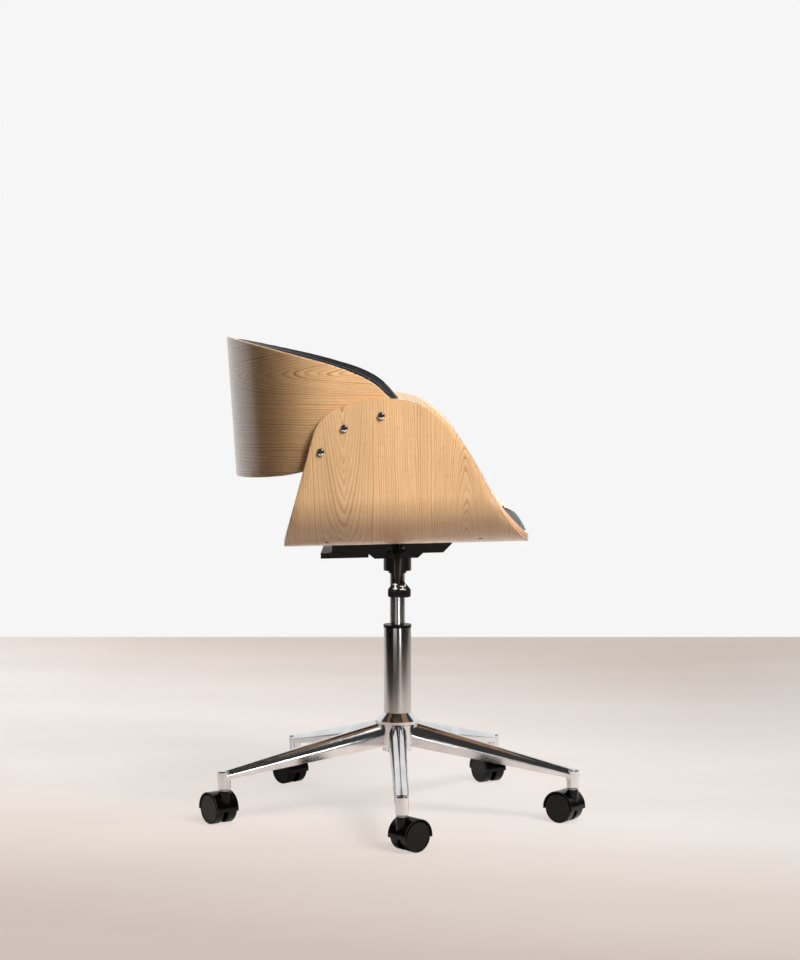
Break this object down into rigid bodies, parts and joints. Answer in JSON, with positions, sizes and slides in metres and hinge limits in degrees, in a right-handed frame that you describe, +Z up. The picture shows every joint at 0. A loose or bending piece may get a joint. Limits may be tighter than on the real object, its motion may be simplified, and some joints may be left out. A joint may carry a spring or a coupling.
{
  "type": "desk chair",
  "caption": "Swivel desk chair with a U-bent plywood seat shell, wrap-around plywood backrest, vinyl pads, gas lift and a star base on twin-wheel casters.",
  "frame": {"origin": "on the floor under the column's axis", "axes": "+X to the chair's front, +Y to the sitter's left, +Z up"},
  "size_m": [0.6992, 0.6804, 0.878],
  "materials": {
    "ash_veneer": "clear satin lacquer over bent plywood",
    "charcoal_vinyl": "soft vinyl upholstery",
    "plain_plywood": "raw plywood",
    "bright_chrome": "polished",
    "zinc_steel": "zinc plated",
    "black_steel": "black powder coat",
    "black_plastic": "moulded",
    "black_nylon": "moulded nylon"
  },
  "bodies": {
    "base": {"base_hub": "bright_chrome", "base_leg_1": "bright_chrome", "base_leg_2": "bright_chrome", "base_leg_3": "bright_chrome", "base_leg_4": "bright_chrome", "base_leg_5": "bright_chrome", "caster_sleeves": "black_plastic", "column_tube": "bright_chrome", "column_end_plate": "zinc_steel", "column_bush": "black_plastic", "bearing_balls": "zinc_steel"},
    "piston": {"piston_rod": "zinc_steel", "piston_head": "zinc_steel", "bearing_washer": "zinc_steel", "rod_clip": "zinc_steel"},
    "seat": {"seat_shell": "ash_veneer", "seat_cushion": "charcoal_vinyl", "cushion_board": "plain_plywood", "cushion_screws": "black_steel", "backrest_shell": "ash_veneer", "backrest_pad": "charcoal_vinyl", "shell_bolts": "bright_chrome", "shell_tee_nuts": "zinc_steel", "mechanism_plate": "black_steel", "rear_channel": "black_steel", "plate_bolts": "zinc_steel", "seat_tee_nuts": "zinc_steel", "taper_socket": "black_steel", "lever_bracket": "black_steel", "lever_pin": "zinc_steel", "gas_cylinder": "bright_chrome", "cylinder_seal": "black_plastic"},
    "lever": {"lever_rod": "black_steel", "lever_handle": "black_plastic"},
    "valve": {"valve_pin": "zinc_steel"},
    "caster_1": {"caster_stem_1": "zinc_steel", "caster_hood_1": "black_nylon", "caster_axle_1": "zinc_steel"},
    "wheel_left_1": {"caster_wheel_left_1": "black_nylon"},
    "wheel_right_1": {"caster_wheel_right_1": "black_nylon"},
    "caster_2": {"caster_stem_2": "zinc_steel", "caster_hood_2": "black_nylon", "caster_axle_2": "zinc_steel"},
    "wheel_left_2": {"caster_wheel_left_2": "black_nylon"},
    "wheel_right_2": {"caster_wheel_right_2": "black_nylon"},
    "caster_3": {"caster_stem_3": "zinc_steel", "caster_hood_3": "black_nylon", "caster_axle_3": "zinc_steel"},
    "wheel_left_3": {"caster_wheel_left_3": "black_nylon"},
    "wheel_right_3": {"caster_wheel_right_3": "black_nylon"},
    "caster_4": {"caster_stem_4": "zinc_steel", "caster_hood_4": "black_nylon", "caster_axle_4": "zinc_steel"},
    "wheel_left_4": {"caster_wheel_left_4": "black_nylon"},
    "wheel_right_4": {"caster_wheel_right_4": "black_nylon"},
    "caster_5": {"caster_stem_5": "zinc_steel", "caster_hood_5": "black_nylon", "caster_axle_5": "zinc_steel"},
    "wheel_left_5": {"caster_wheel_left_5": "black_nylon"},
    "wheel_right_5": {"caster_wheel_right_5": "black_nylon"}
  },
  "joints": [
    {"name": "seat_swivel", "type": "hinge", "parent": "base", "child": "piston", "pos_m": [0, 0, 0.2], "axis": [0, 0, 1], "continuous": true},
    {"name": "seat_height", "type": "slide", "parent": "piston", "child": "seat", "axis": [0, 0, 1], "range_m": [-0.088, 0], "stiffness_N_per_m": 500, "springref_m": 0.7},
    {"name": "lever_lift", "type": "hinge", "parent": "seat", "child": "lever", "pos_m": [0, -0.035, 0.5], "axis": [-1, 0, 0], "range_deg": [0, 6], "stiffness_Nm_per_rad": 1.5, "springref_deg": -17.19},
    {"name": "valve_press", "type": "slide", "parent": "seat", "child": "valve", "axis": [0, 0, -1], "range_m": [0, 0.00377]},
    {"name": "caster_swivel_1", "type": "hinge", "parent": "base", "child": "caster_1", "pos_m": [0.00806, -0.3299, 0.07], "axis": [0, 0, 1], "continuous": true},
    {"name": "wheel_spin_left_1", "type": "hinge", "parent": "caster_1", "child": "wheel_left_1", "pos_m": [0.02185, -0.31833, 0.027], "axis": [-0.6428, 0.766, 0], "continuous": true},
    {"name": "wheel_spin_right_1", "type": "hinge", "parent": "caster_1", "child": "wheel_right_1", "pos_m": [0.02185, -0.31833, 0.027], "axis": [-0.6428, 0.766, 0], "continuous": true},
    {"name": "caster_swivel_2", "type": "hinge", "parent": "base", "child": "caster_2", "pos_m": [0.31625, -0.09428, 0.07], "axis": [0, 0, 1], "continuous": true},
    {"name": "wheel_spin_left_2", "type": "hinge", "parent": "caster_2", "child": "wheel_left_2", "pos_m": [0.30187, -0.08344, 0.027], "axis": [-0.6018, -0.7986, 0], "continuous": true},
    {"name": "wheel_spin_right_2", "type": "hinge", "parent": "caster_2", "child": "wheel_right_2", "pos_m": [0.30187, -0.08344, 0.027], "axis": [-0.6018, -0.7986, 0], "continuous": true},
    {"name": "caster_swivel_3", "type": "hinge", "parent": "base", "child": "caster_3", "pos_m": [0.18739, 0.27164, 0.07], "axis": [0, 0, 1], "continuous": true},
    {"name": "wheel_spin_left_3", "type": "hinge", "parent": "caster_3", "child": "wheel_left_3", "pos_m": [0.17785, 0.2869, 0.027], "axis": [-0.848, -0.5299, 0], "continuous": true},
    {"name": "wheel_spin_right_3", "type": "hinge", "parent": "caster_3", "child": "wheel_right_3", "pos_m": [0.17785, 0.2869, 0.027], "axis": [-0.848, -0.5299, 0], "continuous": true},
    {"name": "caster_swivel_4", "type": "hinge", "parent": "base", "child": "caster_4", "pos_m": [-0.20043, 0.26216, 0.07], "axis": [0, 0, 1], "continuous": true},
    {"name": "wheel_spin_left_4", "type": "hinge", "parent": "caster_4", "child": "wheel_left_4", "pos_m": [-0.21294, 0.2751, 0.027], "axis": [-0.7193, -0.6947, 0], "continuous": true},
    {"name": "wheel_spin_right_4", "type": "hinge", "parent": "caster_4", "child": "wheel_right_4", "pos_m": [-0.21294, 0.2751, 0.027], "axis": [-0.7193, -0.6947, 0], "continuous": true},
    {"name": "caster_swivel_5", "type": "hinge", "parent": "base", "child": "caster_5", "pos_m": [-0.31126, -0.10961, 0.07], "axis": [0, 0, 1], "continuous": true},
    {"name": "wheel_spin_left_5", "type": "hinge", "parent": "caster_5", "child": "wheel_left_5", "pos_m": [-0.32234, -0.09543, 0.027], "axis": [-0.788, -0.6157, 0], "continuous": true},
    {"name": "wheel_spin_right_5", "type": "hinge", "parent": "caster_5", "child": "wheel_right_5", "pos_m": [-0.32234, -0.09543, 0.027], "axis": [-0.788, -0.6157, 0], "continuous": true}
  ],
  "couplings": [
    {"joint": "valve_press", "follows": "lever_lift", "m_per_rad": 0.036}
  ]
}
